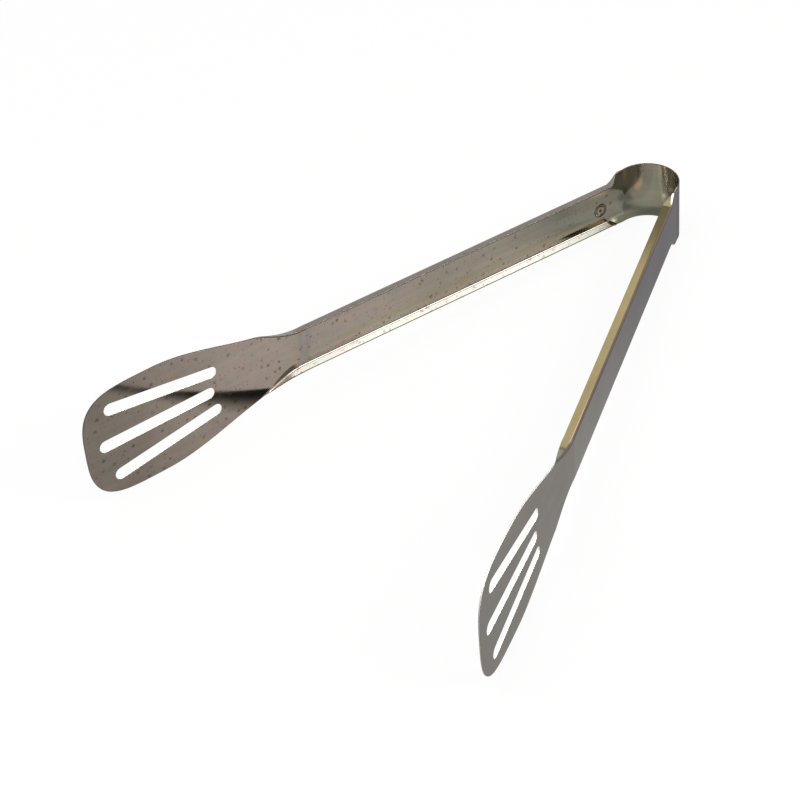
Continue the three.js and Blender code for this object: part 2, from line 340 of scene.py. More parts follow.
class SheetSkin:
    """The closed skin of a stretch of sheet, gathered block by block and then welded."""

    weld_decimals = 5
    sharp_angle = math.radians(36)

    def __init__(self, form: StripForm) -> None:
        """Starts an empty skin on the given strip."""
        self.form = form
        self.points: list[Array] = []
        self.flat: list[Array] = []
        self.rims: list[Array] = []
        self.triangles: list[Array] = []
        self.count = 0

    def add(
        self, distance: Array, across: Array, height: Array | float, place: Place = Place.INNER_FACE
    ) -> Array:
        """Adds a block of points by their places on the strip.

        Args:
            distance: along the sheet from the crown.
            across: from the middle line of the strip.
            height: off the middle of the sheet.
            place: which part of the sheet's surface the points lie on.

        Returns:
            The numbers of the new points, in the shape of the block.
        """
        distance, across, height = np.broadcast_arrays(distance, across, height)
        placed = self.form.place(distance, across, height)
        numbers = self.count + np.arange(distance.size).reshape(distance.shape)
        self.points.append(placed.reshape(-1, 3))
        self.flat.append(np.stack([distance.ravel(), across.ravel()], axis=-1))
        self.rims.append(np.full(distance.size, place.value))
        self.count += distance.size
        return numbers

    def cover(self, grid: Array, columns: Array | None = None) -> None:
        """Covers the cells of a grid of point numbers with two triangles each.

        Args:
            grid: point numbers by row and column.
            columns: the columns of cells to cover, or None for all of them.
        """
        columns = np.arange(grid.shape[1] - 1) if columns is None else columns
        a, b = grid[:-1, columns], grid[:-1, columns + 1]
        c, d = grid[1:, columns + 1], grid[1:, columns]
        for corners in ((a, b, c), (a, c, d)):
            self.triangles.append(np.stack(corners, axis=-1).reshape(-1, 3))

    def rim(self, inner: Array, outer: Array, distance: Array, across: Array, cut: Place) -> Array:
        """Closes an edge between both faces with a wall and a small chamfer on each side.

        Args:
            inner: point numbers along the inner face's edge.
            outer: point numbers along the outer face's edge.
            distance: the wall's places along the sheet.
            across: the wall's places across it.
            cut: which kind of edge it is.

        Returns:
            The numbers of the wall's points, inner row first.
        """
        wall = self.form.sizes.half_sheet - self.form.sizes.edge_chamfer
        high = self.add(distance, across, wall, cut)
        low = self.add(distance, across, -wall, cut)
        self.cover(np.stack([inner, high, low, outer], axis=1))
        return np.stack([high, low])

    def close(
        self, inner: Array, outer: Array, distance: Array, edge: Array, ends: tuple[int, ...]
    ) -> None:
        """Closes both long sides of the sheet, and the given ends with their corners.

        Args:
            inner: the grid of the inner face's point numbers.
            outer: the grid of the outer face's.
            distance: the walls' places along the sheet.
            edge: how far the walls stand from the middle line.
            ends: the rows that are closed, 0 for the first and -1 for the last.
        """
        for column, sign in ((0, -1), (-1, 1)):
            edges = inner[:, column], outer[:, column]
            wall = self.rim(*edges, distance, sign * edge, Place.OUTLINE)
            for end in ends:
                inside, outside, (high, low) = inner[end, column], outer[end, column], wall[:, end]
                self.triangles.append(np.array([[inside, high, low], [inside, low, outside]]))
        for end in ends:
            self.cover(np.stack([inner[end], outer[end]], axis=1))

    def mesh(self, name: str, side: Side, standing: Standing) -> bpy.types.Mesh:
        """Welds the blocks, stands the skin in the row frame and makes the mesh.

        Args:
            name: the mesh's name.
            side: the side of the tongs; the right one is the mirror image.
            standing: how the strip stands in the row frame.

        Returns:
            The closed mesh, with the strip's flat places as its UV map.
        """
        points = np.concatenate(self.points)
        flat = np.concatenate(self.flat)
        rounded = np.round(points, self.weld_decimals)
        _, first, number = np.unique(rounded, axis=0, return_index=True, return_inverse=True)
        triangles = number.reshape(-1)[np.concatenate(self.triangles)]
        one, two, three = triangles.T
        triangles = triangles[(one != two) & (two != three) & (three != one)]
        kept = points[first] * np.array([-side.value, 1, 1])
        mesh = bpy.data.meshes.new(name)
        mesh.from_pydata(standing.point(kept), [], triangles.tolist())
        edit = bmesh.new()
        edit.from_mesh(mesh)
        bmesh.ops.recalc_face_normals(edit, faces=edit.faces)
        edit.to_mesh(mesh)
        edit.free()
        corners = np.empty(len(mesh.loops), np.int32)
        mesh.loops.foreach_get("vertex_index", corners)
        places = (flat[first][corners] * MILLIMETRE).astype(np.float32)
        layer = mesh.uv_layers.new(name=STRIP_MAP)
        layer.data.foreach_set("uv", places.ravel())
        rims = mesh.attributes.new(RIM_MARK, "FLOAT", "POINT")
        rims.data.foreach_set("value", np.concatenate(self.rims)[first].astype(np.float32))
        mesh.shade_smooth()
        mesh.set_sharp_from_angle(angle=self.sharp_angle)
        return mesh


@dataclass(frozen=True)
class PressedMark:
    """The round mark pressed into an arm's inner face: two fine rings and a dot."""

    distance: float = 13.0
    drop: float = 2.0
    ring_radii: tuple[float, ...] = (2.9, 2.1)
    ring_depths: tuple[float, ...] = (0.2, 0.12)
    ring_width: float = 0.3
    dot_radius: float = 0.8
    dot_depth: float = 0.24
    reach: float = 4.2

    def depth(self, distance: Array, across: Array) -> Array:
        """How deep the face is pressed: bell-shaped grooves round the centre, and a dished dot.

        Args:
            distance: along the sheet from the end of the bow.
            across: from the middle line of the strip.

        Returns:
            The depth of the mark at each place, in millimetres.
        """
        away = np.hypot(distance - self.distance, across + self.drop)
        pressed = self.dot_depth * np.clip(1.0 - (away / self.dot_radius) ** 2, 0.0, 1.0)
        for radius, depth in zip(self.ring_radii, self.ring_depths):
            pressed = pressed + depth * np.exp(-(((away - radius) / self.ring_width) ** 2))
        return pressed


@dataclass(frozen=True)
class SlotSizes:
    """One slot of a blade, from its inner end to its outer end, in millimetres."""

    start: float
    length: float
    offset: float
    spread: float
    inner_width: float = 5.1
    outer_width: float = 5.4
    end_turn: float = 0.6 * math.pi
    end_rows: int = 14

    def centres(self) -> tuple[Array, Array]:
        """The centres of the slot's two round ends, along and across the blade."""
        start = np.array([self.start, self.offset])
        end = np.array([self.start + self.length, self.offset + self.spread])
        direction = (end - start) / np.linalg.norm(end - start)
        return start + direction * self.inner_width / 2, end - direction * self.outer_width / 2

    def radii(self, grow: float) -> tuple[float, float]:
        """The radii of the slot's two ends, widened by grow."""
        return self.inner_width / 2 + grow, self.outer_width / 2 + grow

    def flank(self, run: Array, grow: float, sign: int) -> tuple[Array, Array]:
        """One long side of the slot: an arc, the line that touches both ends' circles, and an arc.

        Args:
            run: distances from the crease.
            grow: how much wider than the slot the line lies.
            sign: 1 for the upper side and -1 for the lower side.

        Returns:
            The places across the blade, and the directions away from the slot there.
        """
        near, far = self.centres()
        small, large = self.radii(grow)
        opening = math.asin((large - small) / np.linalg.norm(far - near))
        slope = math.atan2(far[1] - near[1], far[0] - near[0]) + sign * opening
        away_line = np.array([-sign * math.sin(slope), sign * math.cos(slope)])
        touch = near + small * away_line
        straight = touch[1] + (run - touch[0]) * math.tan(slope)
        place, away = [], []
        for centre, radius in ((near, small), (far, large)):
            offset = np.clip(run - centre[0], -radius, radius)
            rise = sign * np.sqrt(np.maximum(radius**2 - offset**2, 0.0))
            place.append(centre[1] + rise)
            away.append(np.stack([offset, rise], axis=-1) / radius)
        before = run < touch[0]
        after = run > far[0] + large * away_line[0]
        across = np.select([before, after], [place[0], place[1]], straight)
        middle = np.broadcast_to(away_line, away[0].shape)
        directions = np.where(before[:, None], away[0], np.where(after[:, None], away[1], middle))
        return across, directions

    def rows(self, grow: float) -> Array:
        """Distances that draw the slot's ends well, close together where they are round."""
        near, far = self.centres()
        small, large = self.radii(grow)
        turn = np.linspace(0.0, self.end_turn, self.end_rows)
        return np.concatenate([near[0] - small * np.cos(turn), far[0] + large * np.cos(turn)])

    def open_between(self, grow: float) -> tuple[float, float]:
        """The first and last distance from the crease that the slot reaches."""
        near, far = self.centres()
        small, large = self.radii(grow)
        return near[0] - small, far[0] + large


def join(name: str, mesh: bpy.types.Mesh, material: bpy.types.Material) -> bpy.types.Object:
    """Makes an object at the origin from a mesh whose place is in its points.

    Args:
        name: the object's name.
        mesh: its finished mesh.
        material: its only material.

    Returns:
        The new object, linked to the scene.
    """
    made = bpy.data.objects.new(name, mesh)
    mesh.materials.append(material)
    bpy.context.scene.collection.objects.link(made)
    LOG.info("%s: %d faces", name, len(mesh.polygons))
    return made


class NodeGraph:
    """A short way to write the nodes of a material or of the world."""

    def __init__(self, owner: bpy.types.Material | bpy.types.World) -> None:
        """Empties the owner's node tree and gives it an output."""
        owner.use_nodes = True
        self.tree = owner.node_tree
        self.tree.nodes.clear()
        kind = "World" if isinstance(owner, bpy.types.World) else "Material"
        self.output = self.node("Output" + kind)

    def feed(self, socket: Socket, value: object) -> None:
        """Sets an input socket's value, or links it to an output socket."""
        if isinstance(value, Socket):
            self.tree.links.new(value, socket)
        else:
            socket.default_value = value

    def node(self, kind: str, inputs: dict | None = None, **settings: object) -> bpy.types.Node:
        """Adds a node.

        Args:
            kind: the node's type name, without the ShaderNode that it starts with.
            inputs: by socket name or number, a value, or another node's output socket.
            settings: the node's own properties.

        Returns:
            The new node.
        """
        made = self.tree.nodes.new("ShaderNode" + kind)
        for key, value in settings.items():
            setattr(made, key, value)
        for key, value in (inputs or {}).items():
            self.feed(made.inputs[key], value)
        return made

    def math(self, kind: str, one: object, other: object = 0.0) -> Socket:
        """The result of a Math node on one or two values or sockets."""
        return self.node("Math", {0: one, 1: other}, operation=kind).outputs[0]

    def product(self, *factors: object) -> Socket:
        """The factors multiplied one after another."""
        return reduce(lambda one, other: self.math("MULTIPLY", one, other), factors)

    def total(self, *terms: object) -> Socket:
        """The terms added one after another."""
        return reduce(lambda one, other: self.math("ADD", one, other), terms)

    def ramp(
        self, value: object, low: float, high: float, start: float = 0.0, end: float = 1.0
    ) -> Socket:
        """A smooth change from start to end as value goes from low to high."""
        inputs = {"Value": value, "From Min": low, "From Max": high, "To Min": start, "To Max": end}
        return self.node("MapRange", inputs, interpolation_type="SMOOTHSTEP").outputs["Result"]

    def noise(self, place: Socket, scale: float, detail: float, roughness: float = 0.5) -> Socket:
        """Cloudy noise by place."""
        inputs = {"Vector": place, "Scale": scale, "Detail": detail, "Roughness": roughness}
        return self.node("TexNoise", inputs).outputs[0]

    def drawn_noise(self, place: Socket, stretch: Triple, detail: float) -> Socket:
        """Cloudy noise by place, with its own scale for each axis."""
        drawn = self.node("Mapping", {"Vector": place, "Scale": stretch})
        return self.noise(drawn.outputs[0], 1.0, detail)

    def vector(self, kind: str, inputs: dict) -> bpy.types.Node:
        """A Vector Math node."""
        return self.node("VectorMath", inputs, operation=kind)

    def offset(self, place: Socket, centre: Pair) -> Socket:
        """A place as seen from a centre on the same plane."""
        return self.vector("SUBTRACT", {0: place, 1: (*centre, 0.0)}).outputs[0]

    def reach(self, place: Socket, axis: Triple) -> Socket:
        """How far a place lies along an axis."""
        return self.vector("DOT_PRODUCT", {0: place, 1: axis}).outputs["Value"]

    def blend(self, share: object, one: Triple | Socket, other: Triple | Socket) -> Socket:
        """A mix of two colours by a share."""
        made = self.node("Mix", {0: share}, data_type="RGBA")
        ends = [socket for socket in made.inputs if socket.type == "RGBA"]
        for socket, colour in zip(ends, (one, other)):
            self.feed(socket, colour if isinstance(colour, Socket) else (*colour, 1.0))
        return next(socket for socket in made.outputs if socket.type == "RGBA")

    def finish(self, shader: bpy.types.Node) -> None:
        """Joins the shader to the output."""
        self.tree.links.new(shader.outputs[0], self.output.inputs["Surface"])


@dataclass(frozen=True)
class Specks:
    """Brown water specks on one layer of cells: how far apart, how many, and how large."""

    cells: float
    share: float
    small: float
    large: float
    faintest: float = 0.4
    edge: Pair = (-0.06, 0.07)

    def strength(self, graph: NodeGraph, strip: Socket, ragged: Socket, crowd: Socket) -> Socket:
        """How strongly each place is marked, at most 1 inside a speck.

        Args:
            graph: the material's nodes.
            strip: the place on the flat strip, in metres.
            ragged: what is added to the distance from a speck's middle, so that its edge is uneven.
            crowd: the share of the cells' specks that show at each place.

        Returns:
            The strength, from 0 to 1.
        """
        cells = {"Vector": strip, "Scale": self.cells}
        spots = graph.node("TexVoronoi", cells, voronoi_dimensions="2D")
        parts = graph.node("SeparateColor", {"Color": spots.outputs["Color"]})
        radius = graph.ramp(parts.outputs[1], 0.0, 1.0, self.small, self.large)
        inside = graph.math("SUBTRACT", radius, graph.total(spots.outputs["Distance"], ragged))
        chosen = graph.math("LESS_THAN", parts.outputs[0], graph.product(crowd, self.share))
        depth = graph.ramp(parts.outputs[2], 0.0, 1.0, self.faintest, 1.0)
        return graph.product(graph.ramp(inside, *self.edge), chosen, depth)


@dataclass(frozen=True)
class PaintedRingShade:
    """Painted shade in a pressed mark's rings and dot, dark in their hollows, on the flat strip, in
    metres.
    """

    centre: Pair
    radii: tuple[float, ...] = (0.0029, 0.0021)
    ring_half: float = 0.0006
    dot_edge: Pair = (0.0004, 0.00104)

    def share(self, graph: NodeGraph, strip: Socket) -> Socket:
        """How dark each place is, most in the middle of a ring.

        Args:
            graph: the material's nodes.
            strip: the place on the flat strip, in metres.

        Returns:
            The share of the painted shade's colour.
        """
        away = graph.vector("LENGTH", {0: graph.offset(strip, self.centre)}).outputs["Value"]
        dark = graph.ramp(away, *self.dot_edge, 1.0, 0.0)
        for radius in self.radii:
            beside = graph.math("ABSOLUTE", graph.math("SUBTRACT", away, radius))
            dark = graph.math("MAXIMUM", dark, graph.ramp(beside, 0.0, self.ring_half, 1.0, 0.0))
        return dark


@dataclass(frozen=True)
class SteelFinish:
    """Polished stainless sheet: fine rolling lines along the strip, smears, specks, and cut edges;
    a rim colour paler than the steel is a painted edge highlight.

    The lines, bands and specks follow the strip's own map, the smears and the tinge the object.
    """

    name: str
    colour: Triple
    roughness: float
    speck_strength: float = 0.0
    shift: float = 0.0
    # The cut edges' colour: dark by default, and paler on the right pieces as a painted highlight
    # along the edges
    rim_and_sheen_colour: Triple = (0.11, 0.095, 0.075)
    # Painted shade in the pressed mark's rings and dot, on the inner face
    ring_shade: PaintedRingShade | None = None
    slot_colour: Triple = (0.95, 0.94, 0.92)
    chamfer_colour: Triple = (0.06, 0.055, 0.05)
    # The brown of the water specks, also used for the painted shade in the pressed mark's rings and
    # dot
    speck_and_shade_colour: Triple = (0.13, 0.088, 0.05)
    specks: tuple[Specks, ...] = (Specks(210.0, 0.95, 0.04, 0.17), Specks(480.0, 0.6, 0.05, 0.15))
    line_stretch: Triple = (55.0, 3400.0, 1.0)
    line_strength: float = 0.1
    line_depth: float = 0.00002
    band_stretch: Triple = (14.0, 420.0, 1.0)
    smear_scale: float = 48.0
    smear_strength: float = 0.07
    tinge_scale: float = 130.0
    cool_tinge: Triple = (0.975, 1.01, 0.985)
    warm_tinge: Triple = (1.03, 0.99, 1.0)
    ragged_scale: float = 1500.0
    ragged_reach: float = 0.08
    ring_shade_cover: float = 0.9
    rim_roughness: float = 0.5
    speck_roughness: float = 0.1

    def polished(self, graph: NodeGraph, bands: Socket, smear: Socket, cast: Socket) -> Socket:
        """The clean steel's colour, a little lighter and darker by place.

        Args:
            graph: the material's nodes.
            bands: noise in bands along the strip.
            smear: cloudy noise for the smears.
            cast: cloudy noise for the tinge.

        Returns:
            The colour.
        """
        most = self.smear_strength
        smeared = graph.ramp(smear, *NOISE_SPAN, -most, most)
        banded = graph.ramp(bands, *NOISE_SPAN, -0.5 * most, 0.5 * most)
        tone = graph.total(smeared, banded, 1.0)
        lit = graph.vector("SCALE", {0: self.colour, "Scale": tone}).outputs[0]
        tinted = graph.blend(graph.ramp(cast, 0.35, 0.65), self.cool_tinge, self.warm_tinge)
        return graph.vector("MULTIPLY", {0: lit, 1: tinted}).outputs[0]

    def speckled(self, graph: NodeGraph, strip: Socket, cast: Socket) -> Socket:
        """How strongly specks mark each place.

        Args:
            graph: the material's nodes.
            strip: the place on the flat strip, in metres.
            cast: cloudy noise; the specks stand closer together where it is high.

        Returns:
            The strength, from 0 to 1.
        """
        fleck = graph.noise(strip, self.ragged_scale, 2.0)
        ragged = graph.ramp(fleck, 0.25, 0.75, -self.ragged_reach, self.ragged_reach)
        crowd = graph.ramp(cast, 0.3, 0.6, 0.3, 1.0)
        layers = [layer.strength(graph, strip, ragged, crowd) for layer in self.specks]
        speck = reduce(lambda one, other: graph.math("MAXIMUM", one, other), layers)
        return graph.product(speck, self.speck_strength)

    def material(self) -> bpy.types.Material:
        """Builds the node material.

        Returns:
            The material, with the sheet's faces, chamfers and walls told apart by their mark.
        """
        made = bpy.data.materials.new(self.name)
        graph = NodeGraph(made)
        flat = graph.node("UVMap", uv_map=STRIP_MAP).outputs["UV"]
        shifted = {"Vector": flat, "Location": (self.shift, self.shift, 0.0)}
        strip = graph.node("Mapping", shifted).outputs[0]
        place = graph.node("TexCoord").outputs["Object"]
        lines = graph.drawn_noise(strip, self.line_stretch, 3.0)
        bands = graph.drawn_noise(strip, self.band_stretch, 2.0)
        smear = graph.noise(place, self.smear_scale, 4.0, 0.6)
        cast = graph.noise(place, self.tinge_scale, 2.0)
        speck = self.speckled(graph, strip, cast)
        lit = graph.blend(speck, self.polished(graph, bands, smear, cast), self.speck_and_shade_colour)
        rim = graph.node("Attribute", attribute_name=RIM_MARK).outputs["Fac"]
        # Painted shade: the pressed mark's rings and dot are darkened with the speck colour
        if self.ring_shade:
            on_inner = graph.ramp(rim, *INNER_BEGINS, 0.0, self.ring_shade_cover)
            ring_shade = graph.product(self.ring_shade.share(graph, flat), on_inner)
            lit = graph.blend(ring_shade, lit, self.speck_and_shade_colour)
        # Chamfers take the chamfer colour and outline walls the rim colour, which is a painted edge
        # highlight where it is pale; slot walls take the slot colour
        on_rim = graph.ramp(rim, *RIM_BEGINS)
        wall = graph.blend(graph.ramp(rim, *SLOT_BEGINS), self.rim_and_sheen_colour, self.slot_colour)
        edge = graph.blend(graph.ramp(rim, *WALL_BEGINS), self.chamfer_colour, wall)
        rough = graph.total(
            graph.ramp(smear, 0.3, 0.75, -0.02, 0.04),
            self.roughness,
            graph.ramp(lines, *NOISE_SPAN, -0.02, 0.03),
            graph.product(speck, self.speck_roughness),
            graph.product(on_rim, self.rim_roughness),
        )
        relief = {"Height": lines, "Strength": self.line_strength, "Distance": self.line_depth}
        steel = {
            "Base Color": graph.blend(on_rim, lit, edge),
            "Metallic": 1.0,
            "Roughness": rough,
            "Normal": graph.node("Bump", relief).outputs[0],
        }
        graph.finish(graph.node("BsdfPrincipled", steel))
        return made


@dataclass
class SpringBow:
    """The spring bow: the flat strip round the crown, in two halves."""

    form: StripForm
    standing: Standing
    rows: int = 64
    columns: int = 24
    body: str = "bow"
    node: str = "spring_bow"
    side_bodies: ClassVar[dict[Side, str]] = SIDE_BODIES

    def build(self, material: bpy.types.Material) -> None:
        """Builds both halves, straight across.

        Args:
            material: the bow's steel.
        """
        form, sizes = self.form, self.form.sizes
        distance = np.linspace(0.0, form.bow_end, self.rows)
        shares = np.linspace(-1.0, 1.0, self.columns)
        skin = strip_skin(form, distance, shares, sizes.half_strip - sizes.edge_chamfer)
        crown = np.array([0.0, sizes.bow_radius, 0.0])
        x, y, _ = form.centre_line(np.array([form.bow_end]))
        for side in Side:
            name = "bow_" + side.name.lower()
            made = join(name, skin.mesh(name, side, self.standing), material)
            end = np.array([-side.value * x[0], y[0], 0.0])
            start_point, end_point = self.standing.point(crown), self.standing.point(end)
            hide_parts(self.node)
            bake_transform(made)


def strip_skin(
    form: StripForm,
    distance: Array,
    shares: Array,
    inset: Array | float,
    pressed: PressedMark | None = None,
) -> SheetSkin:
    """The closed skin of a stretch of strip with no holes in it.

    Args:
        form: the strip.
        distance: the rows, as distances from the crown.
        shares: the columns, as shares of the half width from -1 to 1.
        inset: the half width of the flat faces, inside the chamfers.
        pressed: a mark pressed into the inner face, if any.

    Returns:
        The skin, closed at both ends.
    """
    half_sheet = form.sizes.half_sheet
    skin = SheetSkin(form)
    rows = distance[:, None]
    across = shares[None, :] * np.broadcast_to(inset, distance.shape)[:, None]
    sunk = pressed.depth(rows - form.bow_end, across) if pressed else 0.0
    inner = skin.add(rows, across, half_sheet - sunk)
    outer = skin.add(rows, across, -half_sheet, Place.OUTER_FACE)
    skin.cover(inner)
    skin.cover(outer)
    skin.close(inner, outer, distance, form.half_width(distance), (0, -1))
    return skin


@dataclass
class Arm:
    """One arm: the shoulder, the stretch where its edges fold up, and the channel."""

    form: StripForm
    standing: Standing
    side: Side
    mark: PressedMark | None = None
    fold_rows: int = 46
    channel_rows: int = 60
    crease_rows: int = 5
    fold_share: float = 0.62
    fold_columns: int = 30
    flat_columns: int = 25
    mark_points: int = 76
    body_names: ClassVar[dict[Side, str]] = SIDE_BODIES

    def rows(self) -> Array:
        """Distances of the cross-sections, close together at the shoulder and the mark."""
        form = self.form
        folds_end = form.bow_end + form.sizes.fold_lead_in + form.sizes.fold_run
        parts = [
            np.linspace(form.bow_end, folds_end, self.fold_rows),
            np.linspace(folds_end, form.crease_start, self.channel_rows),
            np.linspace(form.crease_start, form.crease_middle, self.crease_rows),
        ]
        if self.mark:
            middle, reach = form.bow_end + self.mark.distance, self.mark.reach
            parts.append(np.linspace(middle - reach, middle + reach, self.mark_points))
        return np.unique(np.round(np.concatenate(parts), 4))

    def shares(self) -> Array:
        """Columns across the strip, close together over the folds and the mark."""
        flat = self.fold_share
        fold = np.linspace(flat, 1.0, self.fold_columns)
        parts = [fold, -fold, np.linspace(-flat, flat, self.flat_columns)]
        if self.mark:
            half, drop, reach = self.form.sizes.folded_half, self.mark.drop, self.mark.reach
            low, high = (-drop - reach) / half, (-drop + reach) / half
            parts.append(np.linspace(low, high, self.mark_points))
        return np.unique(np.round(np.concatenate(parts), 5))

    def build(self, material: bpy.types.Material) -> None:
        """Builds the arm and lets it ride with its side.

        Args:
            material: the arm's steel.
        """
        name = self.side.name.lower() + "_arm"
        distance = self.rows()
        inset = self.form.half_width(distance) - self.form.sizes.edge_chamfer
        skin = strip_skin(self.form, distance, self.shares(), inset, self.mark)
        made = join(name + "_sheet", skin.mesh(name + "_sheet", self.side, self.standing), material)
        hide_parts(name)
        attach(made, self.body_names[self.side])


@dataclass
class Blade:
    """One blade: the crease, the stretch where the folds run out, the flat, and three slots."""

    form: StripForm
    standing: Standing
    side: Side
    middle_slot: SlotSizes = SlotSizes(41.4, 52.8, 0.0, 0.0)
    side_slot: SlotSizes = SlotSizes(39.3, 50.4, 8.9, 7.4)
    lead_points: int = 500
    tip_points: int = 60
    tip_level: float = 0.8
    fold_rows: int = 44
    flat_rows: int = 40
    end_snap: float = 1e-4
    inner_columns: int = 8
    outer_columns: int = 20
    inner_share: float = 0.56
    edge_power: float = 1.2
    led_length: float = 11.0
    body_names: ClassVar[dict[Side, str]] = SIDE_BODIES

    def outline(self) -> tuple[Array, Array]:
        """The blade's outline, closely drawn, and the same line inside the chamfer.

        The round end is drawn by even steps of the run and then by even steps of the width.

        Returns:
            The outline's points along and across, and the inset line's points.
        """
        sizes, power = self.form.sizes, self.form.sizes.tip_roundness
        lead = np.linspace(-sizes.crease_length / 2, sizes.tip_start, self.lead_points)
        level = np.linspace(0.0, self.tip_level, self.tip_points)[1:]
        last = (1.0 - level[-1] ** power) ** (1.0 / power)
        fall = np.linspace(last, 0.0, self.tip_points)[1:]
        share = np.concatenate([level, (1.0 - fall**power) ** (1.0 / power)])
        run = np.concatenate([lead, sizes.tip_start + sizes.tip_length * share])
        half = self.form.half_width(self.form.crease_end + run)
        half[-1] = 0.0
        line = np.stack([run, half], axis=-1)
        slope = np.gradient(line, axis=0)
        slope[-1] = [0.0, -1.0]
        away = np.stack([-slope[:, 1], slope[:, 0]], axis=-1)
        away /= np.linalg.norm(away, axis=1, keepdims=True)
        eased = len(lead) // 2
        away[:eased, 0] *= ease(np.linspace(0.0, 1.0, eased))
        return line, line - away * sizes.edge_chamfer

    def rows(self) -> tuple[Array, Array, Array]:
        """Where the rows lie: by distance up to the round end, then by the outline's points.

        Returns:
            The rows' distances from the crease, the half width of the flat faces at each, and
            the points of the outline beside them, with along and across as the two rows.
        """
        sizes, grow = self.form.sizes, self.form.sizes.edge_chamfer
        slots = (self.middle_slot, self.side_slot)
        line, inset = self.outline()
        order = np.arange(len(line), dtype=float)
        targets = [
            np.linspace(-sizes.crease_length / 2, sizes.run_out, self.fold_rows),
            np.linspace(sizes.run_out, sizes.tip_start, self.flat_rows),
            *(slot.rows(grow) for slot in slots),
        ]
        lead = np.interp(np.concatenate(targets), inset[:, 0], order)
        tip = np.flatnonzero(line[:, 0] > sizes.tip_start)[::2]
        marks = np.unique(np.round(np.concatenate([lead, tip, order[-1:]]), 6))
        run, edge = (np.interp(marks, order, inset[:, axis]) for axis in (0, 1))
        ends = np.ravel([slot.open_between(grow) for slot in slots])
        nearest = ends[np.abs(run[:, None] - ends).argmin(axis=1)]
        run = np.where(np.abs(run - nearest) < self.end_snap, nearest, run)
        return run, edge, np.stack([np.interp(marks, order, line[:, axis]) for axis in (0, 1)])

    def columns(self, run: Array, edge: Array) -> Array:
        """Places of the columns of the upper half, by row: even at first, then led by the slots.

        Beyond the middle slot they keep the shares of the half width that they have at its end.

        Args:
            run: distances of the rows from the crease.
            edge: the half width of the flat faces at each row.

        Returns:
            Places across, by row and column, from the middle line to the edge.
        """
        grow = self.form.sizes.edge_chamfer
        first, last = self.middle_slot.open_between(grow)
        middle, _ = self.middle_slot.flank(run, grow, 1)
        middle = np.where((run > first) & (run < last), middle, 0.0)
        side_first, side_last = self.side_slot.open_between(grow)
        near, far = self.side_slot.centres()
        closed = np.where(run <= side_first, near[1], far[1])
        is_open = (run > side_first) & (run < side_last)
        low, high = (
            np.where(is_open, self.side_slot.flank(run, grow, sign)[0], closed) for sign in (-1, 1)
        )
        inner = np.linspace(0.0, 1.0, self.inner_columns + 2)
        outer = np.linspace(0.0, 1.0, self.outer_columns + 2)
        inside = middle[:, None] + (low - middle)[:, None] * inner
        outside = high[:, None] + (edge - high)[:, None] * outer**self.edge_power
        led = np.concatenate([inside, outside], axis=1)
        held = np.interp(last, run, edge)
        row = min(int(np.searchsorted(run, last)), len(run) - 1)
        shrunk = led[row] * (edge / held)[:, None]
        shrunk[:, -1] = edge
        led = np.where((run > last)[:, None], shrunk, led)
        even = np.concatenate(
            [inner * self.inner_share, self.inner_share + (1.0 - self.inner_share) * outer]
        )
        share = ease((run - self.form.sizes.run_out) / self.led_length)[:, None]
        return edge[:, None] * even * (1.0 - share) + led * share

    def skin(self) -> SheetSkin:
        """The blade's closed skin: both faces, the walls of the slots, and the outer edge.

        Returns:
            The skin, closed at the crease and at the tip.
        """
        form, sizes = self.form, self.form.sizes
        grow = sizes.edge_chamfer
        run, edge, wall = self.rows()
        upper = self.columns(run, edge)
        across = np.concatenate([-upper[:, ::-1], upper], axis=1)
        count = upper.shape[1]
        skin = SheetSkin(form)
        rows = form.crease_end + run[:, None]
        inner = skin.add(rows, across, sizes.half_sheet)
        outer = skin.add(rows, across, -sizes.half_sheet, Place.OUTER_FACE)
        low = self.inner_columns + 1
        cuts = [
            (self.middle_slot, count - 1, 1),
            (self.side_slot, count + low, 1),
            (self.side_slot, count - 2 - low, -1),
        ]
        cells = np.setdiff1d(np.arange(2 * count - 1), [column for _, column, _ in cuts])
        skin.cover(inner, cells)
        skin.cover(outer, cells)
        skin.close(inner, outer, form.crease_end + wall[0], wall[1], (0,))
        for slot, column, turn in cuts:
            first, last = slot.open_between(grow)
            opened = np.flatnonzero((run >= first) & (run <= last))
            for sign in (1, -1):
                beside = column + 1 if sign * turn > 0 else column
                _, away = slot.flank(run[opened], grow, sign)
                skin.rim(
                    inner[opened, beside],
                    outer[opened, beside],
                    form.crease_end + run[opened] - grow * away[:, 0],
                    across[opened, beside] - turn * grow * away[:, 1],
                    Place.SLOT,
                )
        return skin

    def build(self, material: bpy.types.Material) -> None:
        """Builds the blade and lets it ride with its side.

        Args:
            material: the blade's steel.
        """
        name = self.side.name.lower() + "_blade"
        mesh = self.skin().mesh(name + "_sheet", self.side, self.standing)
        made = join(name + "_sheet", mesh, material)
        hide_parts(name)
        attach(made, self.body_names[self.side])


@dataclass
class PhotoCamera:
    """The camera at the photograph's angle, placed in the strip's frame."""

    standing: Standing
    eye: Triple = (450.58, -702.66, 576.97)
    forward: Triple = (-0.50314, 0.59265, -0.62898)
    up: Triple = (-0.33676, 0.53583, 0.77426)
    lens: float = 106.99
    sensor: float = 36.0
    nearest: float = 0.05

    def build(self) -> None:
        """Makes the camera and gives it to the scene."""
        data = bpy.data.cameras.new("photo_camera")
        data.lens, data.sensor_width, data.clip_start = self.lens, self.sensor, self.nearest
        made = bpy.data.objects.new("photo_camera", data)
        bpy.context.scene.collection.objects.link(made)
        back = -self.standing.direction(self.forward).normalized()
        upward = self.standing.direction(self.up).normalized()
        right = upward.cross(back).normalized()
        upward = back.cross(right)
        place = Matrix((right, upward, back)).transposed().to_4x4()
        place.translation = Vector(self.standing.point(self.eye))
        made.matrix_world = place
        bpy.context.scene.camera = made
        LOG.info("camera at %s", tuple(round(value, 3) for value in place.translation))


